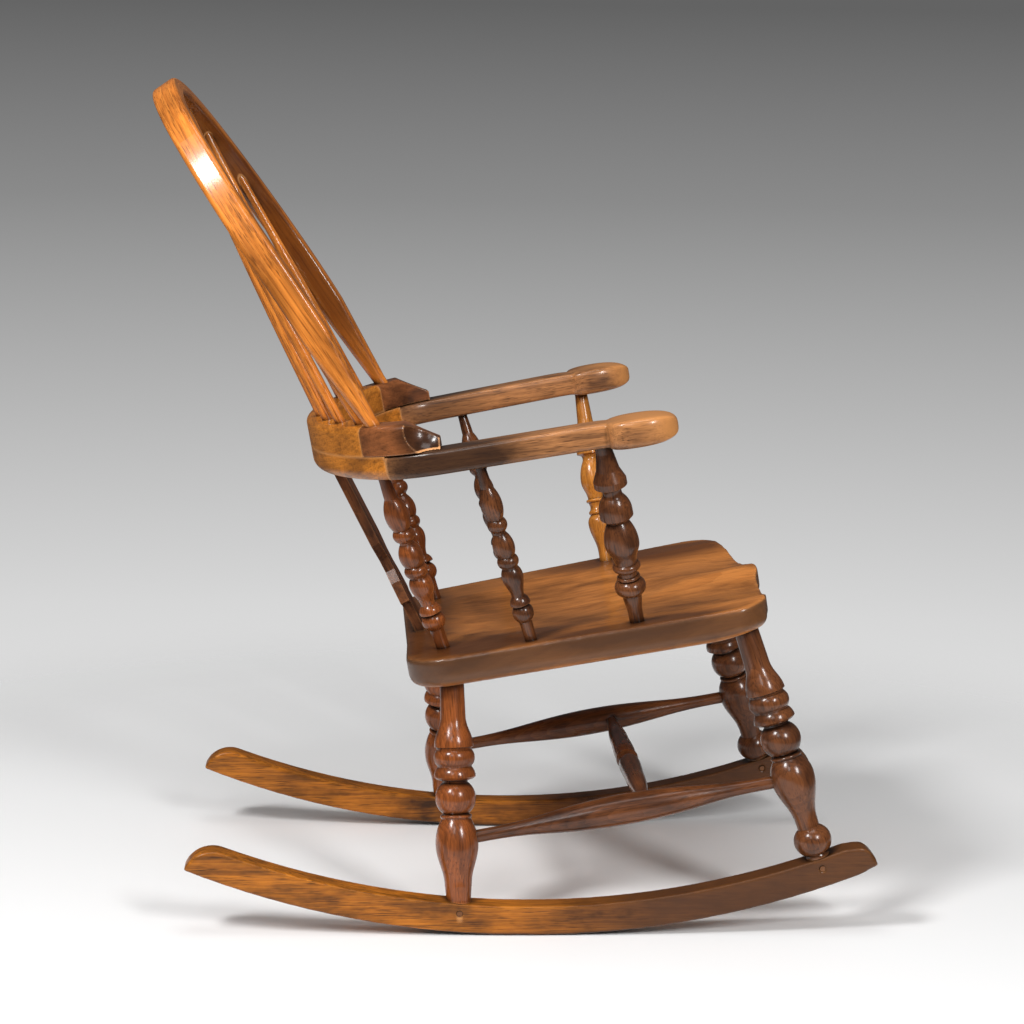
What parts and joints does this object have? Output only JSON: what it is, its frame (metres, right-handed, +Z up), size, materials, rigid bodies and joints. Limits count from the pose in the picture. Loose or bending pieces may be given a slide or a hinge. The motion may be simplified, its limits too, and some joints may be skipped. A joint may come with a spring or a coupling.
{
  "type": "hoop-back windsor rocking chair",
  "caption": "Hoop-back Windsor rocking chair: saddled seat on turned legs and curved rockers, broad arms with hand pads on turned posts, and a leaning hoop filled with round sticks.",
  "frame": {"origin": "centre of the chair's footprint, on the floor on which the rockers rest", "axes": "+Z up; +X towards the sitter's left hand; the sitter looks along -Y, so the back leans towards +Y"},
  "size_m": [0.598, 0.8998, 1.0248],
  "materials": {
    "golden_ash": "polished shellac over golden ash",
    "seat_elm": "worn polished elm",
    "bow_elm": "worn polished elm",
    "crest_end_elm": "dark polished elm",
    "light_beech": "polished beech",
    "dark_beech": "dark polished beech",
    "rocker_ash": "worn polished ash",
    "peg_oak": "plain oak"
  },
  "bodies": {
    "root": {"arm_dowels": "peg_oak", "arm_left": "bow_elm", "arm_right": "bow_elm", "back_leg_left": "dark_beech", "back_leg_right": "dark_beech", "back_post_left": "dark_beech", "back_post_right": "dark_beech", "back_rail": "bow_elm", "centre_stretcher": "dark_beech", "crest_dowels": "peg_oak", "crest_end_left": "crest_end_elm", "crest_end_right": "crest_end_elm", "crest_middle": "bow_elm", "front_leg_left": "dark_beech", "front_leg_right": "dark_beech", "front_post_left": "light_beech", "front_post_right": "dark_beech", "hoop": "golden_ash", "lower_splat": "dark_beech", "middle_post_left": "dark_beech", "middle_post_right": "dark_beech", "rocker_left": "rocker_ash", "rocker_pegs": "peg_oak", "rocker_right": "rocker_ash", "seat": "seat_elm", "side_stretcher_left": "dark_beech", "side_stretcher_right": "dark_beech", "stick_left_1": "golden_ash", "stick_left_2": "golden_ash", "stick_left_3": "golden_ash", "stick_left_4": "golden_ash", "stick_right_1": "golden_ash", "stick_right_2": "golden_ash", "stick_right_3": "golden_ash", "stick_right_4": "golden_ash"}
  },
  "joints": []
}
